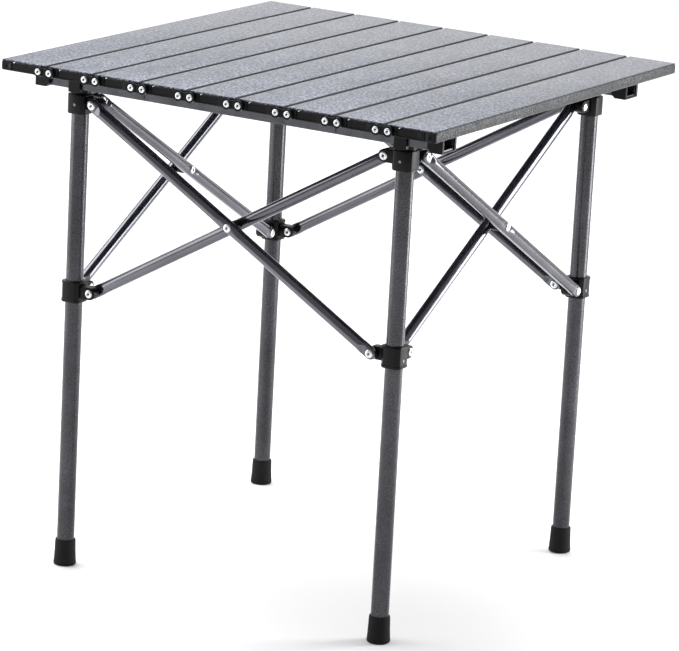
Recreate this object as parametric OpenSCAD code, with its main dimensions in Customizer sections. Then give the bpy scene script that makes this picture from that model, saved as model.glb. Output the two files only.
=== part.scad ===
// Folding side table: a roll-up slatted top that lifts off a four-legged scissor frame.
// The origin is on the floor below the middle of the top; X runs across the slats, Y along them.

/* [Tabletop] */
// Height of the top surface above the floor
table_height = 530; // [500:5:560]
// Width of one slat plus the joint beside it
slat_pitch = 55.5; // [54:0.5:58]
// Length of every slat with its end caps
slat_length = 497; // [480:1:520]
// Thickness of a slat
slat_thickness = 11; // [10.5:0.5:12]
// Wall of the slat extrusion
slat_wall = 1.4; // [1.2:0.1:1.5]
// Distance between the two rivets of a hinge link
rivet_spacing = 13.1; // [13:0.1:14]
// How far the joint between two slats lies to the right of the middle of its link
joint_shift = 2.5; // [1.8:0.1:2.5]
// Angle that each slat turns at each of its rivets when the top is rolled up
roll_angle = 18; // [10:1:18]

/* [Rails] */
// Distance of the legs and rails from the middle of the frame
leg_offset = 189; // [185:1:195]
// Distance from the middle of the top to the middle of the frame, along X
frame_shift = -5; // [-8:1:0]
// Width of a rail
rail_width = 20; // [18:1:22]
// Height of a rail
rail_height = 19; // [17:0.5:20]
// Half the length of a rail
rail_reach = 234.5; // [225:0.5:236]

/* [Frame] */
// Outer diameter of a leg tube
leg_d = 18; // [16:1:19]
// Wall of a leg tube
leg_wall = 1.2; // [1:0.1:1.5]
// Outer diameter of a scissor tube
tube_d = 12; // [11:0.5:13]
// Width of the square body of a hub or slider
block_w = 22; // [22:0.5:24]
// Distance from a leg's axis to the rivets beside it
arm_reach = 21.5; // [21:0.5:24]
// Height of the lower scissor rivets above the floor when the frame stands open
lower_pivot_z = 291.6; // [280:0.1:300]

/* [Feet] */
// Height of a rubber foot
foot_height = 27.5; // [22:0.5:32]
// Diameter of a foot at the floor
foot_d = 23.5; // [22:0.5:26]

/* [Hidden] */
$fn = 48;
overcut = 1;
face_gap = 0.3;
running_gap = 0.1;
seat_gap = 0.05;

// Slats, counted from 0 at the left
slat_count = 9;
last_slat = slat_count - 1;
rivet_z = table_height - 0.6 * slat_thickness;
rise_top = table_height - rivet_z;
rise_bottom = rise_top - slat_thickness;
near_inset = rivet_spacing / 2 - joint_shift;
far_inset = rivet_spacing / 2 + joint_shift;
edge_gap = 0.25;
edge_lean = roll_angle + 1;
edge_steps = 3;
half_width = slat_count * slat_pitch / 2 - edge_gap;
outer_chamfer = 1.2;
toe_chamfer = 1;
lip_opening = 32;
rib_offset = 9;
rib_wall = 1.2;
rib_depth = 5;

// End caps
flange = 3;
plug_depth = 12;
plug_gap = 0.2;
panel_start = 8.5;
panel_length = 22;
panel_depth = 0.8;
panel_margin = 1.4;
notch_length = 3.4;
notch_width = 1.2;
notch_depth = 1.6;
notch_turn = 35;
corner_band = 12;
groove_width = 0.8;
dimple_r = 1.6;

// Hinge links and their hollow rivets
link_gap = 0.3;
link_plate = 2.4;
link_boss = 0.6;
link_r = 5.2;
link_waist = 8.6;
eyelet_r = 1.8;
eyelet_hole = 1.1;
eyelet_head_r = 3.3;
eyelet_head = 0.7;
eyelet_clinch_r = near_inset - edge_gap - slat_wall - face_gap;

// Hubs and sliders, measured from the height of their rivets, and the stack above a hub
block_below = 11.5;
block_above = 8.5;
slider_above = 10.5;
hub_roof = 3;
collar = 1.2;
collar_r = 10;
spigot_r = 8;
spigot_h = 2.9;
socket_depth = 3.7;
rail_top_z = table_height - slat_thickness;
rail_z = rail_top_z - rail_height;
socket_z = rail_z - socket_depth;
spigot_z = socket_z - face_gap;
hub_top_z = spigot_z - collar;
upper_pivot_z = hub_top_z - block_above;
leg_top_z = hub_top_z - hub_roof;

// Frame
leg_r = leg_d / 2;
tube_r = tube_d / 2;
tube_wall = 1;
block_chamfer = 3.8;
arm_r = 6.5;
ear_half = 5.3;
rivet_r = 2.5;
rivet_head_r = 4.2;
rivet_head = 1.2;
spacer_r = 5.5;
flat_half = 3.4;
tube_plane = ear_half + face_gap + flat_half;
flat_end = 10;
flat_blend = 12;
cross_flat_half = 5;
cross_flat = 8;
cross_blend = 6;
slide_gap = 0.3;
pin_r = 1.5;
pin_drop = 2;
screw_drop = 4;
screw_depth = 1.2;
foot_base = 4;
foot_wall = 1.5;
foot_rim = 1.5;

// The scissor tubes lie between rivets that are this far from the middle of a side
pivot_x = leg_offset - arm_reach;
tube_span = norm([2 * pivot_x, upper_pivot_z - lower_pivot_z]);
tube_tilt = atan2(upper_pivot_z - lower_pivot_z, 2 * pivot_x);
cross_z = (upper_pivot_z + lower_pivot_z) / 2;

// Rails, the sockets that drop over the hubs' spigots, and the clips
socket_r = 10.5;
socket_cone_r = 8.2;
socket_cone_h = 3.2;
socket_width = 14;
cheek = 3;
rail_wall = 1.5;
rail_relief = 0.3;
rail_pad = 30;
clip_start = 219;
clip_end = 236;
clip_cheek = 3.5;
clip_floor = 1.6;
clip_chamfer = 4;
mark_offset = 2 * slat_pitch;
mark_width = 1.2;

SIDES = ["front", "right", "back", "left"];
CORNERS = ["front_right", "back_right", "back_left", "front_left"];

// ---- Positions along X ----
function slat_x(i) = (i - last_slat / 2) * slat_pitch;
function left_rivet_x(i) = slat_x(i) - slat_pitch / 2 + near_inset;
function right_rivet_x(i) = slat_x(i) + slat_pitch / 2 - far_inset;

// ---- Slat section ----
// One long edge of a slat, as [distance out, height] from its rivet, from the bottom up.
// It is rounded about the rivet and then leans in, so that two slats clear when they curl up.
function curl_edge(inset, wall, top, bottom) =
    let (reach = inset - edge_gap - wall,
         toe = min(reach - toe_chamfer, rivet_spacing / 2 - 2 * running_gap))
    concat(
        [[toe, bottom], [reach, bottom + reach - toe]],
        [for (s = [0:edge_steps]) reach * [cos(edge_lean * s / edge_steps), sin(edge_lean * s / edge_steps)]],
        [[(reach - top * sin(edge_lean)) / cos(edge_lean), top]]);

// The free edge of the first or last slat, as [distance out, height] from the edge of the top
function plain_edge(wall, top, bottom) = [
    [-wall - outer_chamfer, bottom],
    [-wall, bottom + outer_chamfer],
    [-wall, top - outer_chamfer],
    [-wall - outer_chamfer, top]];

function placed(points, x, way) = [for (p = points) [x + way * p[0], rivet_z + p[1]]];

function reversed(points) = [for (i = [len(points) - 1:-1:0]) points[i]];

// Outline of slat i in X and Z, taken in by a wall and with its top lowered
function slat_outline(i, wall, drop) =
    let (top = rise_top - max(wall, drop),
         bottom = rise_bottom + wall,
         right = i == last_slat
             ? placed(plain_edge(wall, top, bottom), half_width, 1)
             : placed(curl_edge(far_inset, wall, top, bottom), right_rivet_x(i), 1),
         left = i == 0
             ? placed(plain_edge(wall, top, bottom), -half_width, -1)
             : placed(curl_edge(near_inset, wall, top, bottom), left_rivet_x(i), -1))
    concat(right, reversed(left));

// Extrudes a shape drawn in X and Z along Y, centred on Y = 0
module along_y(length) {
    rotate([90, 0, 0])
        linear_extrude(length, center = true)
            children();
}

module slat(i) {
    color([0.66, 0.67, 0.71])
    difference() {
        along_y(slat_length)
            slat_section(i);
        for (end = [-1, 1])
            translate([slat_x(i) - slat_pitch, end * slat_length / 2 - flange, 0])
                cube([2 * slat_pitch, 2 * flange, table_height - slat_wall]);
    }
}

module slat_section(i) {
    cavity_top = table_height - slat_wall;
    difference() {
        polygon(slat_outline(i, 0, 0));
        polygon(slat_outline(i, slat_wall, slat_wall));
        translate([slat_x(i) - lip_opening / 2, table_height - slat_thickness - overcut])
            square([lip_opening, slat_thickness / 2]);
    }
    for (way = [-1, 1])
        translate([slat_x(i) + way * rib_offset - rib_wall / 2, cavity_top - rib_depth])
            square([rib_wall, rib_depth]);
}

// Both end caps of one slat
module end_caps(i) {
    color([0.1, 0.1, 0.11])
    for (turn = [0, 1])
        mirror([0, turn, 0])
            end_cap(i);
}

module end_cap(i) {
    face_y = -slat_length / 2;
    plug_w = 2 * (rib_offset - rib_wall / 2 - plug_gap);
    plug_z = table_height - slat_thickness + slat_wall + plug_gap;
    plug_top = table_height - slat_wall - plug_gap;
    difference() {
        union() {
            translate([0, face_y + flange / 2, 0])
                along_y(flange)
                    polygon(slat_outline(i, 0, slat_wall));
            translate([slat_x(i) - plug_w / 2, face_y + flange / 2, plug_z])
                cube([plug_w, plug_depth, plug_top - plug_z]);
        }
        if (i > 0)
            eyelet_bore(left_rivet_x(i));
        if (i < last_slat)
            eyelet_bore(right_rivet_x(i));
        cap_panel(i);
        if (i == 0)
            corner_marks(-1);
        if (i == last_slat)
            corner_marks(1);
    }
}

module eyelet_bore(x) {
    translate([x, -slat_length / 2 - overcut, rivet_z])
        rotate([-90, 0, 0])
            cylinder(r = eyelet_r + running_gap, h = flange + 2 * overcut);
}

// The sunken panel on a cap and the small slanted notch at its upper corner
module cap_panel(i) {
    x = left_rivet_x(i) + panel_start;
    z = table_height - slat_thickness + panel_margin;
    height = slat_thickness - slat_wall - 2 * panel_margin;
    translate([x, -slat_length / 2 - overcut, z])
        cube([panel_length, panel_depth + overcut, height]);
    translate([x + panel_margin, -slat_length / 2 - overcut, z + height - notch_width / 2])
        rotate([0, -notch_turn, 0])
            cube([notch_length, notch_depth + overcut, notch_width]);
}

// A groove and a dimple on the outer corner of the first and last caps
module corner_marks(way) {
    translate([way * (half_width - corner_band) - groove_width / 2, -slat_length / 2 - overcut, 0])
        cube([groove_width, panel_depth + overcut, table_height]);
    translate([way * (half_width - corner_band / 2), -slat_length / 2 - overcut, rivet_z])
        rotate([-90, 0, 0])
            cylinder(r = dimple_r, h = panel_depth + overcut);
}

// ---- Hinge links ----
// Link j joins slat j to slat j + 1: a plate and two hollow rivets at each end of the slats
module hinge_links(j) {
    xs = [right_rivet_x(j), left_rivet_x(j + 1)];
    for (turn = [0, 1])
        mirror([0, turn, 0])
            translate([0, -slat_length / 2 - link_gap, rivet_z]) {
                link_plate(xs);
                for (x = xs)
                    translate([x, 0, 0])
                        eyelet();
            }
}

module link_plate(xs) {
    color([0.12, 0.12, 0.13])
    difference() {
        union() {
            translate([xs[0], -link_plate, -link_waist / 2])
                cube([rivet_spacing, link_plate, link_waist]);
            for (x = xs)
                translate([x, 0, 0])
                    rotate([90, 0, 0])
                        cylinder(r = link_r, h = link_plate + link_boss);
        }
        for (x = xs)
            translate([x, overcut, 0])
                rotate([90, 0, 0])
                    cylinder(r = eyelet_r + seat_gap, h = link_plate + link_boss + 2 * overcut);
    }
}

// A hollow rivet: head outside the link, shank through link and cap, clinched rim behind the cap
module eyelet() {
    head_y = -link_plate - link_boss - seat_gap - eyelet_head;
    shank_end = link_gap + flange + face_gap;
    color([0.85, 0.86, 0.88])
    difference() {
        union() {
            translate([0, head_y, 0])
                rotate([-90, 0, 0])
                    cylinder(r = eyelet_head_r, h = eyelet_head);
            translate([0, head_y, 0])
                rotate([-90, 0, 0])
                    cylinder(r = eyelet_r, h = shank_end - head_y);
            translate([0, shank_end, 0])
                rotate([-90, 0, 0])
                    cylinder(r = eyelet_clinch_r, h = eyelet_head);
        }
        translate([0, head_y - overcut, 0])
            rotate([-90, 0, 0])
                cylinder(r = eyelet_hole, h = shank_end - head_y + eyelet_head + 2 * overcut);
    }
}

// ---- Rails ----
module rails() {
    color([0.6, 0.61, 0.63])
    for (side = [-1, 1])
        translate([frame_shift, side * leg_offset, rail_z])
            difference() {
                union() {
                    translate([-rail_reach, -rail_width / 2, 0])
                        cube([2 * rail_reach, rail_width, rail_height - rail_relief]);
                    translate([-frame_shift - rail_pad / 2, -rail_width / 2, 0])
                        cube([rail_pad, rail_width, rail_height]);
                }
                translate([-rail_reach - overcut, -rail_width / 2 + rail_wall, rail_wall])
                    cube([2 * (rail_reach + overcut), rail_width - 2 * rail_wall,
                          rail_height - rail_relief - 2 * rail_wall]);
                for (way = [-1, 1])
                    rail_mark(way * mark_offset - frame_shift, side);
            }
}

// A short upright slit in the outer face of a rail
module rail_mark(x, side) {
    translate([x - mark_width / 2, side * rail_width / 2 - rail_wall / 2, rail_wall])
        cube([mark_width, rail_wall, rail_height / 2]);
}

// The four sockets that drop over the hubs and the four clips on the ends of the rails
module rail_brackets() {
    color([0.1, 0.1, 0.11])
    for (side = [-1, 1])
        translate([frame_shift, side * leg_offset, 0])
            for (way = [0, 1])
                mirror([way, 0, 0]) {
                    translate([leg_offset, 0, 0])
                        rail_socket();
                    rail_clip();
                }
}

module rail_socket() {
    saddle_w = rail_width + 2 * cheek;
    difference() {
        union() {
            translate([0, 0, socket_z])
                cylinder(r = socket_r, h = rail_z - socket_z);
            translate([-socket_width / 2, -saddle_w / 2, rail_z - cheek])
                cube([socket_width, saddle_w, rail_height + cheek - rail_relief]);
        }
        translate([-socket_r - overcut, -rail_width / 2, rail_z])
            cube([2 * (socket_r + overcut), rail_width, rail_height]);
        translate([0, 0, socket_z])
            cylinder(r1 = socket_cone_r, r2 = socket_cone_r - socket_cone_h, h = socket_cone_h);
    }
}

// A U-shaped sleeve under the end of a rail, slanted where it faces the middle
module rail_clip() {
    clip_w = rail_width + 2 * clip_cheek;
    low = rail_z - clip_floor;
    high = rail_top_z - rail_relief;
    difference() {
        along_y(clip_w)
            polygon([[clip_start + clip_chamfer, low], [clip_end, low], [clip_end, high],
                     [clip_start, high], [clip_start, low + clip_chamfer]]);
        translate([clip_start - overcut, -rail_width / 2, rail_z])
            cube([clip_end - clip_start + 2 * overcut, rail_width, rail_height]);
    }
}

// ---- Frame placement ----
// Corner k, with its leg's axis at the origin; k counts from front_right towards back_right
module at_corner(k) {
    translate([frame_shift, 0, 0])
        rotate([0, 0, 90 * k])
            translate([leg_offset, -leg_offset, 0])
                children();
}

// Side k, with Y = 0 in the plane of its legs and -Y pointing outward
module at_side(k) {
    translate([frame_shift, 0, 0])
        rotate([0, 0, 90 * k])
            translate([0, -leg_offset, 0])
                children();
}

// ---- Legs, hubs, sliders and feet ----
module leg(k) {
    color([0.38, 0.38, 0.4])
    at_corner(k)
        difference() {
            translate([0, 0, foot_base])
                cylinder(r = leg_r, h = leg_top_z - foot_base);
            translate([0, 0, foot_base - overcut])
                cylinder(r = leg_r - leg_wall, h = leg_top_z - foot_base + 2 * overcut);
            pin_hole(k);
        }
}

// The hole for the pin that holds a hub on its leg, along Y on every corner
module pin_hole(k) {
    translate([0, 0, upper_pivot_z - pin_drop])
        rotate([90, 0, 90 * k])
            cylinder(r = pin_r + seat_gap, h = block_w + 2 * overcut, center = true);
}

// Square body with two arms, one along -X and one along +Y, centred on the pivot height
module armed_block(above, bore_r, bore_top) {
    difference() {
        union() {
            translate([0, 0, -block_below])
                linear_extrude(block_below + above)
                    chamfered_square();
            pivot_arm();
            rotate([0, 0, -90])
                pivot_arm();
        }
        translate([0, 0, -block_below - overcut])
            cylinder(r = bore_r, h = bore_top + block_below + overcut);
    }
}

module chamfered_square() {
    across = block_w * sqrt(2) - block_chamfer * sqrt(2);
    intersection() {
        square(block_w, center = true);
        rotate(45)
            square(across, center = true);
    }
}

// An arm along -X with a rounded end and the bore of its rivet
module pivot_arm() {
    difference() {
        union() {
            translate([-arm_reach, -ear_half, -arm_r])
                cube([arm_reach, 2 * ear_half, 2 * arm_r]);
            translate([-arm_reach, 0, 0])
                rotate([90, 0, 0])
                    cylinder(r = arm_r, h = 2 * ear_half, center = true);
        }
        translate([-arm_reach, 0, 0])
            rotate([90, 0, 0])
                cylinder(r = rivet_r + running_gap, h = 2 * block_w, center = true);
    }
}

module top_hub(k) {
    at_corner(k) {
        color([0.09, 0.09, 0.1])
        difference() {
            union() {
                translate([0, 0, upper_pivot_z])
                    armed_block(block_above, leg_r, leg_top_z - upper_pivot_z);
                translate([0, 0, hub_top_z])
                    cylinder(r = collar_r, h = collar);
                translate([0, 0, spigot_z])
                    cylinder(r1 = spigot_r, r2 = spigot_r - spigot_h, h = spigot_h);
            }
            pin_hole(k);
        }
        hub_pin(k);
    }
}

// The pin through hub and leg, flush with the sides of the hub
module hub_pin(k) {
    color([0.75, 0.76, 0.78])
    translate([0, 0, upper_pivot_z - pin_drop])
        rotate([90, 0, 90 * k])
            cylinder(r = pin_r, h = block_w, center = true);
}

module slider(k) {
    at_corner(k)
        translate([0, 0, lower_pivot_z]) {
            color([0.09, 0.09, 0.1])
            difference() {
                armed_block(slider_above, leg_r + slide_gap, slider_above + overcut);
                slider_screw(k, pin_r + seat_gap, screw_depth + seat_gap);
            }
            slider_screw(k, pin_r, screw_depth);
        }
}

// The screw in the outward face of a slider that looks along X, flush with it
module slider_screw(k, r, depth) {
    color([0.75, 0.76, 0.78])
    translate([0, 0, -screw_drop])
        rotate([0, 90, -90 * (k % 2)])
            translate([0, 0, block_w / 2 - depth])
                cylinder(r = r, h = depth);
}

module foot(k) {
    neck_r = leg_r + foot_wall;
    base_r = foot_d / 2;
    rim = foot_rim;
    color([0.08, 0.08, 0.08])
    at_corner(k)
        rotate_extrude()
            polygon([[0, 0], [base_r - rim, 0], [base_r, rim], [neck_r, foot_height - rim],
                     [neck_r - rim / 2, foot_height], [leg_r, foot_height],
                     [leg_r, foot_base], [0, foot_base]]);
}

// ---- Scissor tubes ----
// A tube of one side's scissor, with its middle at the origin and X along it.
// Its ends are pressed flat where they meet the arms, and its middle where the two tubes cross.
module tube_form() {
    half = tube_span / 2;
    bulge = tube_r + overcut / 2;
    upper = [
        [half + tube_r + overcut, flat_half], [half - flat_end, flat_half],
        [half - flat_end - flat_blend, bulge], [cross_flat + cross_blend, bulge],
        [cross_flat, cross_flat_half]];
    left = [for (p = reversed(upper)) [-p[0], p[1]]];
    ring = concat(upper, left);
    intersection() {
        rotate([0, 90, 0])
            cylinder(r = tube_r, h = tube_span + 2 * tube_r + overcut, center = true);
        linear_extrude(tube_d + overcut, center = true)
            polygon(concat(ring, [for (p = reversed(ring)) [p[0], -p[1]]]));
        along_y(tube_d + 2 * overcut) {
            square([tube_span, tube_d + overcut], center = true);
            for (way = [-1, 1])
                translate([way * half, 0])
                    circle(r = tube_r);
        }
    }
}

module scissor_tube(cross_bore_r) {
    half = tube_span / 2;
    hollow_start = cross_flat + cross_blend;
    hollow_end = half - flat_end - flat_blend - cross_blend;
    difference() {
        tube_form();
        for (way = [-1, 1]) {
            translate([way * half, 0, 0])
                cross_bore(rivet_r);
            translate([way * (hollow_start + hollow_end) / 2, 0, 0])
                rotate([0, 90, 0])
                    cylinder(r = tube_r - tube_wall, h = hollow_end - hollow_start, center = true);
        }
        cross_bore(cross_bore_r);
    }
}

module cross_bore(r) {
    rotate([90, 0, 0])
        cylinder(r = r, h = 2 * tube_d, center = true);
}

// The outer tube runs from the upper left rivet of a side to its lower right one
module outer_tube(k) {
    color([0.3, 0.3, 0.32])
    at_side(k)
        translate([0, -tube_plane, cross_z])
            rotate([0, tube_tilt, 0])
                scissor_tube(rivet_r);
}

// The inner tube runs from the upper right rivet of a side to its lower left one
module inner_tube(k) {
    color([0.36, 0.36, 0.38])
    at_side(k)
        translate([0, tube_plane, cross_z])
            rotate([0, -tube_tilt, 0])
                scissor_tube(rivet_r + running_gap);
}

// A rivet along Y: a head on a tube's flat at head_y, and a head beyond the arm's other face
module arm_rivet(way) {
    outer_face = way * (tube_plane + flat_half);
    inner_face = -way * (ear_half + 2 * running_gap);
    rivet_between(outer_face, inner_face);
}

// A rivet along Y with its heads outside two faces
module rivet_between(y1, y2) {
    low = min(y1, y2);
    high = max(y1, y2);
    translate([0, low, 0])
        rotate([-90, 0, 0])
            cylinder(r = rivet_r, h = high - low);
    translate([0, low, 0])
        rotate([90, 0, 0])
            cylinder(r = rivet_head_r, h = rivet_head);
    translate([0, high, 0])
        rotate([-90, 0, 0])
            cylinder(r = rivet_head_r, h = rivet_head);
}

// The end rivets of an outer tube, the rivet where the tubes cross and the spacer on it
module outer_rivets(k) {
    cross_face = tube_plane + cross_flat_half;
    spacer_face = tube_plane - cross_flat_half;
    at_side(k) {
        color([0.85, 0.86, 0.88]) {
            translate([-pivot_x, 0, upper_pivot_z])
                arm_rivet(-1);
            translate([pivot_x, 0, lower_pivot_z])
                arm_rivet(-1);
            translate([0, 0, cross_z])
                rivet_between(-cross_face, cross_face + 2 * running_gap);
        }
        color([0.09, 0.09, 0.1])
        translate([0, -spacer_face, cross_z])
            rotate([-90, 0, 0])
                difference() {
                    cylinder(r = spacer_r, h = 2 * spacer_face - 2 * running_gap);
                    translate([0, 0, -overcut])
                        cylinder(r = rivet_r + seat_gap, h = 2 * spacer_face + 2 * overcut);
                }
    }
}

module inner_rivets(k) {
    color([0.85, 0.86, 0.88])
    at_side(k) {
        translate([pivot_x, 0, upper_pivot_z])
            arm_rivet(1);
        translate([-pivot_x, 0, lower_pivot_z])
            arm_rivet(1);
    }
}

for (i = [0:last_slat]) {
    slat(i);
    end_caps(i);
}
for (j = [0:last_slat - 1])
    hinge_links(j);
rails();
rail_brackets();
for (k = [0:3]) {
    leg(k);
    top_hub(k);
    foot(k);
    slider(k);
    outer_tube(k);
    inner_tube(k);
    outer_rivets(k);
    inner_rivets(k);
}
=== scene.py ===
"""The looks of a folding side table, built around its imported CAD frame. Lengths are in metres."""

import math

import bmesh
import bpy
from mathutils import Matrix, Vector


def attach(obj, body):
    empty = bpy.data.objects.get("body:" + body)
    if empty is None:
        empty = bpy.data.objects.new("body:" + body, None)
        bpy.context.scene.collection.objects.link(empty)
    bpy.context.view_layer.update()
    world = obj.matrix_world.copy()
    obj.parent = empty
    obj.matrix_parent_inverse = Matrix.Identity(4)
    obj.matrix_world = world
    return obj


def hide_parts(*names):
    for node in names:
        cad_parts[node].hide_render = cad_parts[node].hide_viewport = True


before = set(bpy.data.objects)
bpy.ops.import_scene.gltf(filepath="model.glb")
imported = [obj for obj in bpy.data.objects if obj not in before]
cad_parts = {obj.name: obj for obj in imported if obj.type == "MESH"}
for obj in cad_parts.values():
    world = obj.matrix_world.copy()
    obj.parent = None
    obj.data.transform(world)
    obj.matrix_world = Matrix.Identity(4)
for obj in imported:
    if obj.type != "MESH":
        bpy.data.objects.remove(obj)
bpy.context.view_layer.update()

MM = 0.001
SIDES = ["front", "right", "back", "left"]
CORNERS = ["front_right", "back_right", "back_left", "front_left"]

# The table's own measures, as in the CAD source
TABLE_Z = 530 * MM
SLAT_THICKNESS = 11 * MM
SLAT_COUNT = 9
PITCH = 55.5 * MM
CAP_FACE = 248.5 * MM
RIVET_Z = TABLE_Z - 0.6 * SLAT_THICKNESS
FRAME_SHIFT = -5 * MM
LEG_OFFSET = 189 * MM
LEG_R = 9 * MM
TUBE_R = 6 * MM
PIVOT_X = 167.5 * MM
UPPER_Z = 486.3 * MM
LOWER_Z = 291.6 * MM
CROSS_Z = (UPPER_Z + LOWER_Z) / 2
TUBE_PLANE = 9.0 * MM
FLAT_HALF = 3.4 * MM
CROSS_HALF = 5 * MM
EAR_HALF = 5.3 * MM
BLOCK = 22 * MM
BLOCK_BELOW = 11.5 * MM
BLOCK_ABOVE = 8.5 * MM
SLIDER_ABOVE = 10.5 * MM
BLOCK_CHAMFER = 3.8 * MM
BLOCK_ROUND = 0.8 * MM
SLIDER_WAIST = 0.5 * MM
PIN_DROP = 2 * MM
SCREW_DROP = 4 * MM
ARM_REACH = 21.5 * MM
ARM_R = 6.5 * MM


# ---- Materials ----
RANGE_SOCKETS = ("From Min", "From Max", "To Min", "To Max")


def linear(r, g, b):
    """A colour given in display values from 0 to 255, as the shader's linear values."""
    def channel(value):
        share = value / 255
        return share / 12.92 if share < 0.0404 else ((share + 0.055) / 1.055) ** 2.4

    return (channel(r), channel(g), channel(b), 1.0)


class Surface:
    """A node material with a principled shader, and short ways to add the usual nodes."""

    def __init__(self, name, metallic=0.0, specular=0.5):
        self.material = bpy.data.materials.new(name)
        self.material.use_nodes = True
        self.tree = self.material.node_tree
        self.shader = self.tree.nodes["Principled BSDF"]
        self.shader.inputs["Metallic"].default_value = metallic
        self.shader.inputs["Specular IOR Level"].default_value = specular
        self.place = self.tree.nodes.new("ShaderNodeTexCoord").outputs["Object"]

    def node(self, kind, **settings):
        made = self.tree.nodes.new(kind)
        for key, value in settings.items():
            setattr(made, key, value)
        return made

    def link(self, out, into):
        self.tree.links.new(out, into)

    def stretched(self, scale):
        mapping = self.node("ShaderNodeMapping")
        mapping.inputs["Scale"].default_value = scale
        self.link(self.place, mapping.inputs["Vector"])
        return mapping.outputs["Vector"]

    def noise(self, size, detail=4.0, roughness=0.55, place=None):
        """Noise whose features are about `size` metres across."""
        made = self.node("ShaderNodeTexNoise")
        made.inputs["Scale"].default_value = 1 / size
        made.inputs["Detail"].default_value = detail
        made.inputs["Roughness"].default_value = roughness
        self.link(place or self.place, made.inputs["Vector"])
        return made.outputs["Fac"]

    def cells(self, size):
        """Rounded cells about `size` metres across, as in a hammered coat."""
        made = self.node("ShaderNodeTexVoronoi", feature="SMOOTH_F1")
        made.inputs["Scale"].default_value = 1 / size
        made.inputs["Smoothness"].default_value = 0.6
        made.inputs["Randomness"].default_value = 1.0
        self.link(self.place, made.inputs["Vector"])
        return made.outputs["Distance"]

    def ranged(self, value, low, high, out_low, out_high):
        """A value from low to high, spread over another range."""
        made = self.node("ShaderNodeMapRange")
        for key, number in zip(RANGE_SOCKETS, (low, high, out_low, out_high)):
            made.inputs[key].default_value = number
        self.link(value, made.inputs["Value"])
        return made.outputs["Result"]

    def ramp(self, value, stops):
        """A colour ramp with a list of (position, colour) stops."""
        made = self.node("ShaderNodeValToRGB")
        band = made.color_ramp
        while len(band.elements) < len(stops):
            band.elements.new(0.5)
        for element, (position, colour) in zip(band.elements, stops):
            element.position = position
            element.color = colour
        self.link(value, made.inputs["Fac"])
        return made.outputs["Color"]

    def mixed(self, factor, first, second, blend="MIX"):
        made = self.node("ShaderNodeMix", data_type="RGBA", blend_type=blend)
        for socket, value in ((made.inputs[0], factor), (made.inputs[6], first), (made.inputs[7], second)):
            if isinstance(value, bpy.types.NodeSocket):
                self.link(value, socket)
            else:
                socket.default_value = value
        return made.outputs[2]

    def bump(self, height, distance, strength=1.0, under=None):
        made = self.node("ShaderNodeBump")
        made.inputs["Strength"].default_value = strength
        made.inputs["Distance"].default_value = distance
        self.link(height, made.inputs["Height"])
        if under is not None:
            self.link(under, made.inputs["Normal"])
        return made.outputs["Normal"]

    def finish(self, colour, roughness, normal):
        self.link(colour, self.shader.inputs["Base Color"])
        self.link(roughness, self.shader.inputs["Roughness"])
        self.link(normal, self.shader.inputs["Normal"])
        return self.material


def hammered(name, low, middle, high, cell, depth, rough, metallic):
    """A hammered powder coat: rounded cells, a fine grain in them and soft blotches of tone."""
    s = Surface(name, metallic, 0.5)
    cells = s.cells(cell)
    pits = s.noise(cell * 0.8, 2.0, 0.6)
    grain = s.noise(cell * 0.35, 3.0)
    tone = s.ramp(s.noise(45 * MM, 3.0), [(0.3, low), (0.5, middle), (0.72, high)])
    speckle = s.ramp(cells, [(0.05, (1.55, 1.55, 1.55, 1)), (0.35, (1, 1, 1, 1)),
                             (0.6, (0.42, 0.42, 0.43, 1))])
    flecks = s.ramp(pits, [(0.36, (0.48, 0.48, 0.49, 1)), (0.5, (1, 1, 1, 1)),
                           (0.64, (1.6, 1.6, 1.59, 1))])
    colour = s.mixed(1.0, s.mixed(1.0, tone, speckle, "MULTIPLY"), flecks, "MULTIPLY")
    roughness = s.ranged(grain, 0.3, 0.7, rough - 0.07, rough + 0.09)
    coarse = s.bump(cells, depth, 0.9)
    return s.finish(colour, roughness, s.bump(pits, depth * 0.5, 0.7, coarse))


def tube_coat(name, low, high, rough, metallic, flake_size, contrast):
    """A metallic coat on a drawn tube: fine flake, an orange-peel swell and faint rub marks."""
    s = Surface(name, metallic, 0.5)
    flake = s.noise(flake_size, 2.0, 0.7)
    swell = s.noise(4 * MM, 2.0)
    rubs = s.noise(9 * MM, 5.0, 0.7)
    tone = s.ramp(s.noise(85 * MM, 3.0), [(0.32, low), (0.7, high)])
    less, more = 1 - contrast, 1 + contrast
    speckle = s.ramp(flake, [(0.36, (less, less, less, 1)), (0.66, (more, more, more, 1))])
    colour = s.mixed(1.0, tone, speckle, "MULTIPLY")
    roughness = s.ranged(rubs, 0.35, 0.75, rough - 0.06, rough + 0.1)
    base = s.bump(swell, 0.05 * MM, 0.35)
    return s.finish(colour, roughness, s.bump(flake, 0.02 * MM, 0.5, base))


def moulded(name, low, high, rough, grain):
    """Moulded black plastic or rubber: a fine spark-eroded grain with faint scuffs."""
    s = Surface(name, 0.0, 0.17)
    fine = s.noise(grain, 3.0, 0.6)
    scuff = s.noise(3.5 * MM, 6.0, 0.75)
    dust = s.noise(22 * MM, 3.0)
    tone = s.ramp(scuff, [(0.42, low), (0.72, high)])
    colour = s.mixed(s.ranged(dust, 0.35, 0.75, 0.0, 0.35), tone, high)
    roughness = s.ranged(scuff, 0.3, 0.75, rough - 0.08, rough + 0.12)
    base = s.bump(scuff, 0.03 * MM, 0.3)
    return s.finish(colour, roughness, s.bump(fine, 0.03 * MM, 0.6, base))


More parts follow.
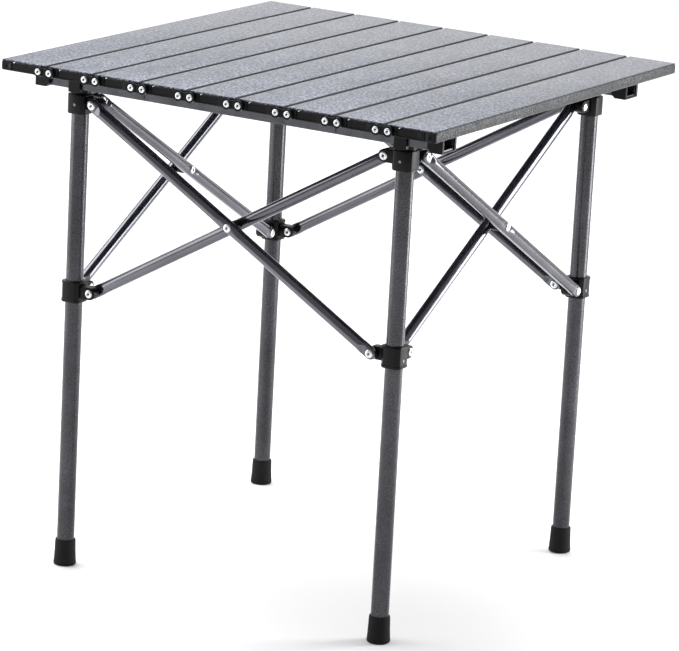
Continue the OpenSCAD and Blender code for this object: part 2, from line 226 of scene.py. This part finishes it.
def brushed(name, low, high, rough, along, metallic=1.0):
    """Drawn or brushed metal, its fine lines running along the axis that `along` stretches."""
    s = Surface(name, metallic, 0.5)
    lines = s.noise(1.0 * MM, 4.0, 0.65, s.stretched(along))
    blot = s.noise(14 * MM, 4.0)
    tone = s.ramp(blot, [(0.3, low), (0.7, high)])
    streak = s.ramp(lines, [(0.3, (0.9, 0.9, 0.9, 1)), (0.7, (1.07, 1.07, 1.07, 1))])
    colour = s.mixed(1.0, tone, streak, "MULTIPLY")
    roughness = s.ranged(lines, 0.3, 0.7, rough - 0.06, rough + 0.08)
    return s.finish(colour, roughness, s.bump(lines, 0.01 * MM, 0.5))


# Hammered coats take a cell size, a depth, a roughness and a metallic share
SLAT = hammered("slat_coat", linear(84, 88, 100), linear(92, 96, 108), linear(101, 105, 117),
                3.2 * MM, 0.4 * MM, 0.36, 0.6)
# The slat coat again, made darker as painted shade for the free side faces of the first and last slats
SLAT_SIDE_SHADE = hammered("slat_side_painted_shade", linear(36, 38, 41), linear(46, 48, 51), linear(60, 62, 66),
                     2.6 * MM, 0.9 * MM, 0.38, 0.55)
# Near black as painted shade, for the flanks and rounded edges that face each other in the joints between
# slats
SLAT_FLANK_SHADE = hammered("slat_flank_painted_shade", linear(9, 9, 10), linear(12, 12, 13), linear(16, 16, 17),
                      2.4 * MM, 0.1 * MM, 0.6, 0.0)
# Tube coats take a roughness, a metallic share, a flake size and the flake's contrast
LEG = tube_coat("leg_coat", linear(62, 62, 65), linear(77, 77, 81), 0.26, 0.88, 1.0 * MM, 0.42)
TUBE = tube_coat("scissor_tube_coat", linear(90, 90, 96), linear(108, 108, 114), 0.13, 0.92,
                 0.5 * MM, 0.12)
PLASTIC = moulded("black_plastic", linear(4, 4, 5), linear(12, 12, 13), 0.36, 0.5 * MM)
RUBBER = moulded("foot_rubber", linear(15, 15, 16), linear(28, 28, 29), 0.68, 0.8 * MM)
STEEL = brushed("rivet_steel", linear(208, 210, 214), linear(232, 233, 236), 0.3, (1, 1, 1))
PIN = brushed("pin_steel", linear(108, 110, 114), linear(140, 142, 146), 0.36, (1, 1, 1))
RAIL = brushed("rail_metal", linear(76, 77, 81), linear(95, 96, 100), 0.28, (0.02, 1, 1), 0.9)


# ---- Mesh helpers ----
# The largest turn, in degrees, between faces that still shade as one surface
TURNED_SHARP = 38
FLAT_SHARP = 24
DRAWN_SHARP = 50


def made(name, mesh_data, materials, body, node=None, slot=None, sharp=TURNED_SHARP):
    """Turns a bmesh into a piece that rides on a body and may stand for a CAD node."""
    bmesh.ops.recalc_face_normals(mesh_data, faces=mesh_data.faces)
    mesh = bpy.data.meshes.new(name)
    mesh_data.to_mesh(mesh)
    mesh_data.free()
    for material in materials:
        mesh.materials.append(material)
    mesh.polygons.foreach_set("use_smooth", [True] * len(mesh.polygons))
    mesh.set_sharp_from_angle(angle=math.radians(sharp))
    piece = bpy.data.objects.new(name, mesh)
    bpy.context.scene.collection.objects.link(piece)
    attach(piece, body)
    if node:
        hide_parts(node)
    return piece


def lathe(target, profile, place, segments=32, closed=False):
    """Turns a profile of (radius, height) about the local Z axis."""
    rings = []
    for radius, height in profile:
        count = 1 if radius < 1e-7 else segments
        turn = [2 * math.pi * k / segments for k in range(count)]
        rings.append([
            target.verts.new(place @ Vector((radius * math.cos(a), radius * math.sin(a), height)))
            for a in turn])
    following = rings[1:] + rings[:1] if closed else rings[1:]
    for low, high in zip(rings, following):
        for k in range(segments):
            corners = [low[k % len(low)], low[(k + 1) % len(low)],
                       high[(k + 1) % len(high)], high[k % len(high)]]
            unique = list(dict.fromkeys(corners))
            if len(unique) > 2:
                target.faces.new(unique)


def inset(outline, distance):
    """Moves each side of a convex outline inward by a distance."""
    moved = []
    for k, point in enumerate(outline):
        before, after = Vector(outline[k - 1]), Vector(outline[(k + 1) % len(outline)])
        here = Vector(point)
        a, b = (here - before).normalized(), (after - here).normalized()
        n1, n2 = Vector((-a.y, a.x)), Vector((-b.y, b.x))
        moved.append(here + (n1 + n2) * (distance / (1 + n1.dot(n2))))
    return moved


def pillow(target, outline, low, high, rounding, place, lip=0.0, waist=0.0):
    """Extrudes a convex outline along the local Z axis and rounds its two rims.

    The part between two lips is set back by `waist`."""
    steps = 3
    levels = []
    for k in range(steps + 1):
        angle = math.pi / 2 * k / steps
        levels.append((rounding * (1 - math.sin(angle)), low + rounding * (1 - math.cos(angle))))
    if waist:
        levels += [(0, low + lip), (waist, low + lip + waist)]
    levels += [(d, low + high - z) for d, z in reversed(levels)]
    rings = [[target.verts.new(place @ Vector((p[0], p[1], z))) for p in inset(outline, d)]
             for d, z in levels]
    target.faces.new(list(reversed(rings[0])))
    target.faces.new(rings[-1])
    for below, above in zip(rings, rings[1:]):
        for k in range(len(below)):
            n = (k + 1) % len(below)
            target.faces.new((below[k], below[n], above[n], above[k]))


def rounded_box(half_x, half_y, radius, steps=4):
    """The outline of a rectangle with round corners, anticlockwise."""
    points = []
    for cx, cy, start in ((1, 1, 0), (-1, 1, 90), (-1, -1, 180), (1, -1, 270)):
        for k in range(steps + 1):
            a = math.radians(start + 90 * k / steps)
            points.append((cx * (half_x - radius) + radius * math.cos(a),
                           cy * (half_y - radius) + radius * math.sin(a)))
    return points


def along(axis, origin=(0, 0, 0)):
    """A frame whose Z axis points along a world axis."""
    return Matrix.Translation(origin) @ Vector(axis).to_track_quat("Z", "Y").to_matrix().to_4x4()


def joined(meshes, cut=None):
    """Joins closed meshes into one clean solid, and cuts another one out of it."""
    def temporary(data):
        bmesh.ops.recalc_face_normals(data, faces=data.faces)
        mesh = bpy.data.meshes.new("temporary")
        data.to_mesh(mesh)
        data.free()
        item = bpy.data.objects.new("temporary", mesh)
        bpy.context.scene.collection.objects.link(item)
        return item

    items = [temporary(data) for data in meshes]
    tools = [(item, "UNION") for item in items[1:]]
    if cut is not None:
        tools.append((temporary(cut), "DIFFERENCE"))
    for item, operation in tools:
        modifier = items[0].modifiers.new("join", "BOOLEAN")
        modifier.object = item
        modifier.operation = operation
        modifier.solver = "EXACT"
    graph = bpy.context.evaluated_depsgraph_get()
    result = bmesh.new()
    result.from_mesh(items[0].evaluated_get(graph).data)
    for item in [items[0]] + [tool for tool, _ in tools]:
        bpy.data.objects.remove(item)
    return result


def cad_copy(node):
    """A copy of a CAD node's mesh, welded, with the triangles of each flat face merged."""
    copy = bmesh.new()
    copy.from_mesh(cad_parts[node].data)
    bmesh.ops.remove_doubles(copy, verts=copy.verts, dist=2e-6)
    bmesh.ops.dissolve_limit(copy, angle_limit=math.radians(0.6), verts=copy.verts, edges=copy.edges)
    bmesh.ops.recalc_face_normals(copy, faces=copy.faces)
    for face in copy.faces:
        face.material_index = 0
    return copy


def islands(copy):
    """The separate solids of a mesh, as lists of vertices."""
    left = set(copy.verts)
    found = []
    while left:
        queue = [left.pop()]
        group = list(queue)
        while queue:
            for edge in queue.pop().link_edges:
                for vertex in edge.verts:
                    if vertex in left:
                        left.remove(vertex)
                        queue.append(vertex)
                        group.append(vertex)
        found.append(group)
    return found


def soften(copy, wanted, width, segments=2):
    """Rounds the sharp outward edges that `wanted` accepts."""
    edges = [e for e in copy.edges
             if len(e.link_faces) == 2 and e.is_convex and e.calc_face_angle(0) > math.radians(35)
             and e.calc_length() > 1.5 * width and wanted(e)]
    bmesh.ops.bevel(copy, geom=edges, offset=width, segments=segments, profile=0.5, affect="EDGES",
                    clamp_overlap=False)


# ---- Slats, caps and links ----
SLAT_EDGE = 0.6 * MM
CAP_EDGE = 0.3 * MM
LINK_EDGE = 0.35 * MM
RAIL_EDGE = 0.7 * MM
BRACKET_EDGE = 0.5 * MM

def left_rivet(i):
    """The X of a slat's left rivet, with the slats counted from 0."""
    return (i - 4) * PITCH - 23.7 * MM


def right_rivet(i):
    return (i - 4) * PITCH + 18.7 * MM


def slat_body(number):
    """The rails hold the middle slat, so it rides on their body."""
    return "top" if number == 5 else f"slat_{number}"


def on_top(edge):
    return all(v.co.z > TABLE_Z - 0.1 * MM for v in edge.verts)


def at_face(edge):
    return all(abs(abs(v.co.y) - CAP_FACE) < 0.05 * MM for v in edge.verts)


for number in range(1, SLAT_COUNT + 1):
    body = slat_body(number)
    copy = cad_copy(f"slat_{number}")
    soften(copy, on_top, SLAT_EDGE)
    # Faces that turn sideways take painted shade: near black on the flanks in the joints, and the darker
    # slat coat on the two free sides
    for face in copy.faces:
        if abs(face.normal.x) > 0.3:
            free = abs(face.calc_center_median().x) > SLAT_COUNT * PITCH / 2 - 3 * MM
            face.material_index = 2 if free else 1
    made(f"slat_{number}_extrusion", copy, [SLAT, SLAT_FLANK_SHADE, SLAT_SIDE_SHADE], body, f"slat_{number}",
         "slat_paint", FLAT_SHARP)
    copy = cad_copy(f"end_caps_{number}")
    soften(copy, at_face, CAP_EDGE)
    made(f"slat_{number}_caps", copy, [PLASTIC], body, f"end_caps_{number}", "black_plastic",
         FLAT_SHARP)

# A sliver of bare metal that shows in the slanted notch of every cap
for number in range(1, SLAT_COUNT + 1):
    body = slat_body(number)
    slivers = bmesh.new()
    for way in (-1, 1):
        centre = Vector((left_rivet(number - 1) + 11.25 * MM, way * (CAP_FACE - 0.75 * MM),
                         TABLE_Z - 1.95 * MM))
        place = (Matrix.Translation(centre) @ Matrix.Rotation(math.radians(-35), 4, "Y")
                 @ Matrix.Rotation(math.pi / 2, 4, "X"))
        outline = rounded_box(1.5 * MM, 0.42 * MM, 0.3 * MM, 2)
        pillow(slivers, outline, -0.55 * MM, 0.55 * MM, 0.15 * MM, place)
    made(f"slat_{number}_notch_slivers", slivers, [STEEL], body, None, "slat_paint")

# A hollow link rivet in millimetres: (radius, depth behind the cap's face), closed on itself
EYELET = [(1.1, -3.15), (1.25, -3.5), (1.65, -3.72), (2.3, -3.75), (2.9, -3.6), (3.22, -3.32),
          (3.3, -3.08), (1.8, -3.04), (1.8, 3.6), (2.05, 3.62), (2.1, 3.85), (1.95, 4.15), (1.6, 4.28),
          (1.3, 4.15), (1.1, 3.8)]


def on_outer_plate(edge):
    """The edges of a link's raised front, not the ones of its rivet bores."""
    outside = all(abs(v.co.y) > CAP_FACE + 2.6 * MM for v in edge.verts)
    return outside and edge.calc_length() > 1 * MM


for number in range(1, SLAT_COUNT):
    body = f"links_{number}"
    copy = cad_copy(f"hinge_links_{number}")
    # The CAD's rivets are the islands narrower than a plate, and turned ones take their place
    rivets = [v for group in islands(copy)
              if max(p.co.x for p in group) - min(p.co.x for p in group) < 8 * MM for v in group]
    bmesh.ops.delete(copy, geom=rivets, context="VERTS")
    soften(copy, on_outer_plate, LINK_EDGE)
    made(f"link_{number}_plates", copy, [PLASTIC], body, f"hinge_links_{number}", "black_plastic",
         FLAT_SHARP)
    rings = bmesh.new()
    for x in (right_rivet(number - 1), left_rivet(number)):
        for way in (-1, 1):
            lathe(rings, [(r * MM, z * MM) for r, z in EYELET],
                  along((0, -way, 0), (x, way * (CAP_FACE + 0.3 * MM), RIVET_Z)), 28, closed=True)
    made(f"link_{number}_eyelets", rings, [STEEL], body, None, "rivet_steel")

# ---- Rails ----
copy = cad_copy("rails")
soften(copy, lambda e: e.calc_length() > 100 * MM, RAIL_EDGE, 3)
made("rail_pair", copy, [RAIL], "top", "rails", "rail_metal", FLAT_SHARP)
copy = cad_copy("rail_brackets")
soften(copy, lambda e: e.calc_length() > 3 * MM, BRACKET_EDGE)
made("rail_sockets_and_clips", copy, [PLASTIC], "top", "rail_brackets", "black_plastic", FLAT_SHARP)


# ---- Legs ----
def corner_place(k):
    """The frame of leg k, whose two neighbours lie along its -X and +Y."""
    return (Matrix.Translation((FRAME_SHIFT, 0, 0)) @ Matrix.Rotation(math.pi / 2 * k, 4, "Z")
            @ Matrix.Translation((LEG_OFFSET, -LEG_OFFSET, 0)))


def side_place(k):
    """The frame of side k, seen from outside, whose X runs to the right."""
    return (Matrix.Translation((FRAME_SHIFT, 0, 0)) @ Matrix.Rotation(math.pi / 2 * k, 4, "Z")
            @ Matrix.Translation((0, -LEG_OFFSET, 0)))


def block(place, above, waist):
    """The square body of a hub or slider, its upright corners cut off and every rim a little round."""
    half, cut = BLOCK / 2, BLOCK_CHAMFER
    outline = []
    for quarter in range(4):
        turn = Matrix.Rotation(math.pi / 2 * quarter, 2)
        for x, y in ((half, half - cut - 0.4 * MM), (half - 0.15 * MM, half - cut),
                     (half - cut, half - 0.15 * MM), (half - cut - 0.4 * MM, half)):
            outline.append(tuple(turn @ Vector((x, y))))
    data = bmesh.new()
    pillow(data, outline, -BLOCK_BELOW, above, BLOCK_ROUND, place, lip=2.6 * MM, waist=waist)
    return data


def arm(place):
    """An arm along -X that ends in a round ear about its rivet."""
    outline = [(-6 * MM, -ARM_R), (0, -ARM_R), (0, ARM_R), (-6 * MM, ARM_R)]
    for k in range(17):
        a = math.pi / 2 + math.pi * k / 16
        outline.append((-ARM_REACH + ARM_R * math.cos(a), ARM_R * math.sin(a)))
    data = bmesh.new()
    pillow(data, outline, -EAR_HALF, EAR_HALF, BLOCK_ROUND,
           place @ Matrix.Rotation(math.pi / 2, 4, "X"))
    return data


def turned(profile, place, segments=48):
    """A turned piece from a profile in millimetres."""
    data = bmesh.new()
    lathe(data, [(r * MM, z * MM) for r, z in profile], place, segments)
    return data


def armed_block(place, above, waist=0.0):
    """The overlapping pieces of a hub or slider, to be joined."""
    return [block(place, above, waist), arm(place), arm(place @ Matrix.Rotation(-math.pi / 2, 4, "Z"))]


def screw(target, place):
    """A small round head that stands a little proud of a face, with a dimple in its middle."""
    profile = [(0, -0.9), (1.45, -0.9), (1.45, 0), (1.3, 0.14), (0.85, 0.2), (0.55, 0.05), (0, -0.1)]
    lathe(target, [(r * MM, z * MM) for r, z in profile], place, 24)


LEG_TOP = UPPER_Z + BLOCK_ABOVE - 3 * MM
LEG_FLOOR = 4.1 * MM
LEG_BORE_R = LEG_R - 1.2 * MM

# Profiles in millimetres: the foot from the floor up, and the hub's spigot from its top face up
FOOT = [(0, 0), (9.9, 0), (10.9, 0.25), (11.5, 0.85), (11.75, 1.8), (11.7, 3.2), (11.45, 5), (11.2, 9),
        (10.95, 14), (10.75, 20), (10.6, 25.2), (10.45, 26.4), (10.1, 27.2), (9.6, 27.5), (9.02, 27.5),
        (9.02, 4.02), (0, 4.02)]
CROWN = [(0, -2), (9.4, -2), (9.4, -0.1), (9.85, 0.05), (10, 0.3), (10, 0.85), (9.8, 1.15), (9.5, 1.2),
         (8, 1.2), (7.9, 1.45), (5.5, 3.8), (5.1, 4.05), (4.8, 4.1), (0, 4.1)]

for k, corner in enumerate(CORNERS):
    body = f"leg_{corner}"
    place = corner_place(k)
    upper = place @ Matrix.Translation((0, 0, UPPER_Z))
    lower = place @ Matrix.Translation((0, 0, LOWER_Z))
    data = bmesh.new()
    lathe(data, [(LEG_R, LEG_FLOOR), (LEG_R, LEG_TOP), (LEG_BORE_R, LEG_TOP), (LEG_BORE_R, LEG_FLOOR)],
          place, 64, closed=True)
    made(f"leg_{corner}_tube", data, [LEG], body, f"leg_{corner}", "leg_paint")
    made(f"foot_{corner}_rubber", turned(FOOT, place), [RUBBER], body, f"foot_{corner}", "foot_rubber")

    crown = turned(CROWN, upper @ Matrix.Translation((0, 0, BLOCK_ABOVE)))
    hub = joined(armed_block(upper, BLOCK_ABOVE) + [crown])
    made(f"hub_{corner}_body", hub, [PLASTIC], body, f"top_hub_{corner}", "black_plastic")
    pins = bmesh.new()
    for way in (-1, 1):
        centre = upper @ Vector((0, 0, -PIN_DROP))
        screw(pins, along((0, way, 0), (centre.x, centre.y + way * BLOCK / 2, centre.z)))
    made(f"hub_{corner}_pin", pins, [PIN], body, None, "rivet_steel")

    bore = turned([(0, -30), (9.3, -30), (9.3, 30), (0, 30)], lower, 64)
    slider = joined(armed_block(lower, SLIDER_ABOVE, SLIDER_WAIST), bore)
    made(f"slider_{corner}_body", slider, [PLASTIC], f"slider_{corner}", f"slider_{corner}",
         "black_plastic")
    pins = bmesh.new()
    centre = lower @ Vector((0, 0, -SCREW_DROP))
    way = 1 if centre.x > 0 else -1
    face_x = centre.x + way * (BLOCK / 2 - SLIDER_WAIST)
    screw(pins, along((way, 0, 0), (face_x, centre.y, centre.z)))
    made(f"slider_{corner}_screw", pins, [PIN], f"slider_{corner}", None, "rivet_steel")


# ---- Scissors ----
SPAN = math.hypot(2 * PIVOT_X, UPPER_Z - LOWER_Z)
TILT = math.atan2(UPPER_Z - LOWER_Z, 2 * PIVOT_X)


def eased(value, low, high):
    """0 below low, 1 above high, and a smooth step between."""
    t = min(max((value - low) / (high - low), 0), 1)
    return t * t * (3 - 2 * t)


def tube_section(s):
    """Half thickness, half width and squareness of a tube at a distance from its middle."""
    s = abs(s)
    half = SPAN / 2
    round_again = eased(s, 6.5 * MM, 17 * MM)
    thick = CROSS_HALF + (TUBE_R - CROSS_HALF) * round_again
    pressed = eased(s, half - 14 * MM, half - 6 * MM)
    thick += (FLAT_HALF - thick) * pressed
    wide = TUBE_R + 0.3 * MM * pressed
    square = 2 + 1.6 * pressed + 0.5 * (1 - round_again)
    if s > half:
        wide *= math.sqrt(max(1 - ((s - half) / wide) ** 2, 0.0004))
        thick -= 0.9 * MM * eased(s, half + 4.5 * MM, half + 6.3 * MM)
    return thick, wide, square


def scissor_tube(place, segments=36):
    """A tube along X, pressed flat about its end rivets and a little where it crosses the other."""
    half = SPAN / 2
    end = [half + d * MM for d in (-14, -13, -12, -11, -10, -9, -8, -7, -6, -3, 0, 2, 3.5, 4.6, 5.3, 5.8,
                                   6.1, 6.25)]
    middle = [d * MM for d in (0, 4, 6.5, 8, 9.5, 11, 12.5, 14, 15.5, 17, 20)]
    plain = [middle[-1] + (end[0] - middle[-1]) * k / 8 for k in range(1, 8)]
    right = middle + plain + end
    stations = [-s for s in reversed(right[1:])] + right
    data = bmesh.new()
    rings = []
    for s in stations:
        thick, wide, square = tube_section(s)
        ring = []
        for k in range(segments):
            a = 2 * math.pi * k / segments
            c, d = math.cos(a), math.sin(a)
            y = thick * math.copysign(abs(c) ** (2 / square), c)
            z = wide * math.copysign(abs(d) ** (2 / square), d)
            ring.append(data.verts.new(place @ Vector((s, y, z))))
        rings.append(ring)
    for near, far in zip(rings, rings[1:]):
        for k in range(segments):
            n = (k + 1) % segments
            data.faces.new((near[k], near[n], far[n], far[k]))
    data.faces.new(list(reversed(rings[0])))
    data.faces.new(rings[-1])
    return data


def rivet(target, place, low, high):
    """A tubular rivet along Y, its two rolled heads outside two faces."""
    head = [(0, -1.5), (1.0, -1.4), (1.15, 0.3), (1.35, 0.85), (1.8, 1.15), (2.3, 1.2), (3.1, 1.1),
            (3.8, 0.8), (4.2, 0.35), (4.2, 0)]
    profile = [(r * MM, low - z * MM) for r, z in head]
    profile += [(2.45 * MM, low), (2.45 * MM, high)]
    profile += [(r * MM, high + z * MM) for r, z in reversed(head)]
    lathe(target, profile, place @ Matrix.Rotation(-math.pi / 2, 4, "X"), 32)


def arm_rivet(target, place, way):
    """The rivet through a tube's flat end and an arm's ear, from one outer face to the other."""
    outer = way * (TUBE_PLANE + FLAT_HALF)
    inner = -way * (EAR_HALF + 0.2 * MM)
    rivet(target, place, min(outer, inner), max(outer, inner))


for k, side in enumerate(SIDES):
    place = side_place(k)
    for kind, way in (("outer", -1), ("inner", 1)):
        body = f"{kind}_{side}"
        lie = (place @ Matrix.Translation((0, way * TUBE_PLANE, CROSS_Z))
               @ Matrix.Rotation(-way * TILT, 4, "Y"))
        made(f"{kind}_tube_{side}_drawn", scissor_tube(lie), [TUBE], body, f"{kind}_tube_{side}",
             "tube_paint", DRAWN_SHARP)
        data = bmesh.new()
        high_x = way * PIVOT_X
        arm_rivet(data, place @ Matrix.Translation((high_x, 0, UPPER_Z)), way)
        arm_rivet(data, place @ Matrix.Translation((-high_x, 0, LOWER_Z)), way)
        if kind == "outer":
            crossing = place @ Matrix.Translation((0, 0, CROSS_Z))
            face = TUBE_PLANE + CROSS_HALF
            rivet(data, crossing, -face, face + 0.2 * MM)
            ring = bmesh.new()
            gap = (TUBE_PLANE - CROSS_HALF) / MM
            profile = [(2.55, -gap), (5.1, -gap), (5.5, -gap + 0.4), (5.5, gap - 0.6), (5.1, gap - 0.2),
                       (2.55, gap - 0.2)]
            lathe(ring, [(r * MM, z * MM) for r, z in profile],
                  crossing @ Matrix.Rotation(-math.pi / 2, 4, "X"), 32, closed=True)
            made(f"spacer_{side}_ring", ring, [PLASTIC], body, None, "black_plastic")
        made(f"{kind}_{side}_rivets", data, [STEEL], body, f"{kind}_rivets_{side}", "rivet_steel")


# ---- Studio ----
# The camera's direction, from straight in front of the table toward its right
VIEW_AZIMUTH = math.radians(30.617)


def floor():
    data = bmesh.new()
    bmesh.ops.create_grid(data, x_segments=1, y_segments=1, size=40)
    mesh = bpy.data.meshes.new("studio_floor")
    data.to_mesh(mesh)
    data.free()
    plate = bpy.data.objects.new("studio_floor", mesh)
    bpy.context.scene.collection.objects.link(plate)
    s = Surface("floor_paint", 0.0, 0.2)
    s.shader.inputs["Roughness"].default_value = 0.8
    s.link(s.ramp(s.noise(0.6, 2.0), [(0.3, linear(236, 236, 236)), (0.7, linear(240, 240, 240))]),
           s.shader.inputs["Base Color"])
    mesh.materials.append(s.material)


def lamp(name, azimuth, elevation, distance, size, power, aim=(0, 0, 0.3)):
    """A soft square lamp. Azimuth 0 stands in front of the table and 90 on its right."""
    light = bpy.data.lights.new(name, "AREA")
    light.shape = "RECTANGLE"
    light.size, light.size_y = size
    light.energy = power
    item = bpy.data.objects.new(name, light)
    bpy.context.scene.collection.objects.link(item)
    a, e = math.radians(azimuth), math.radians(elevation)
    back = Vector((math.sin(a) * math.cos(e), -math.cos(a) * math.cos(e), math.sin(e)))
    item.location = Vector(aim) + back * distance
    item.rotation_mode = "QUATERNION"
    item.rotation_quaternion = (-back).to_track_quat("-Z", "Y")


def shade(tree):
    """Air that is white behind the table and dimmer in front of it, as in a room with a lit wall."""
    place = tree.nodes.new("ShaderNodeTexCoord").outputs["Generated"]
    toward = tree.nodes.new("ShaderNodeVectorMath")
    toward.operation = "DOT_PRODUCT"
    toward.inputs[1].default_value = (math.sin(VIEW_AZIMUTH), -math.cos(VIEW_AZIMUTH), 0)
    tree.links.new(place, toward.inputs[0])
    strength = tree.nodes.new("ShaderNodeMapRange")
    for key, number in zip(RANGE_SOCKETS, (-0.85, 0.1, 1.5, 0.4)):
        strength.inputs[key].default_value = number
    tree.links.new(toward.outputs["Value"], strength.inputs["Value"])
    tree.nodes["Background"].inputs["Color"].default_value = (1, 1, 1, 1)
    tree.links.new(strength.outputs["Result"], tree.nodes["Background"].inputs["Strength"])


def studio():
    floor()
    world = bpy.data.worlds.new("studio_air")
    world.use_nodes = True
    shade(world.node_tree)
    bpy.context.scene.world = world
    bpy.context.scene.view_settings.view_transform = "Standard"
    lamp("lamp_above", 240, 68, 3.5, (3.4, 3.4), 172)
    lamp("lamp_right", 128, 8, 1.35, (0.45, 1.3), 19)
    lamp("lamp_left", -62, 16, 1.6, (1.1, 1.4), 13)


def camera():
    """The photograph's point of view, with the roll that its picture has."""
    azimuth, elevation, roll = VIEW_AZIMUTH, math.radians(14.415), math.radians(3.047)
    # The distance and the two shifts are in metres, the focal length in pixels of a 679 wide picture
    distance, focal, across, up = 3.9108, 3784.2, -0.01115, 0.01332
    back = Vector((math.sin(azimuth) * math.cos(elevation), -math.cos(azimuth) * math.cos(elevation),
                   math.sin(elevation)))
    level = Vector((math.cos(azimuth), math.sin(azimuth), 0))
    above = back.cross(level)
    x_axis = level * math.cos(roll) + above * math.sin(roll)
    y_axis = above * math.cos(roll) - level * math.sin(roll)
    data = bpy.data.cameras.new("photo_camera")
    data.sensor_width = 36
    data.sensor_fit = "HORIZONTAL"
    data.lens = focal / 679 * 36
    data.clip_start, data.clip_end = 0.05, 200
    item = bpy.data.objects.new("photo_camera", data)
    bpy.context.scene.collection.objects.link(item)
    turn = Matrix((x_axis, y_axis, back)).transposed().to_4x4()
    middle = Vector((FRAME_SHIFT, 0, TABLE_Z / 2))
    place = middle + back * distance - x_axis * across - y_axis * up
    item.matrix_world = Matrix.Translation(place) @ turn
    bpy.context.scene.camera = item


studio()
camera()
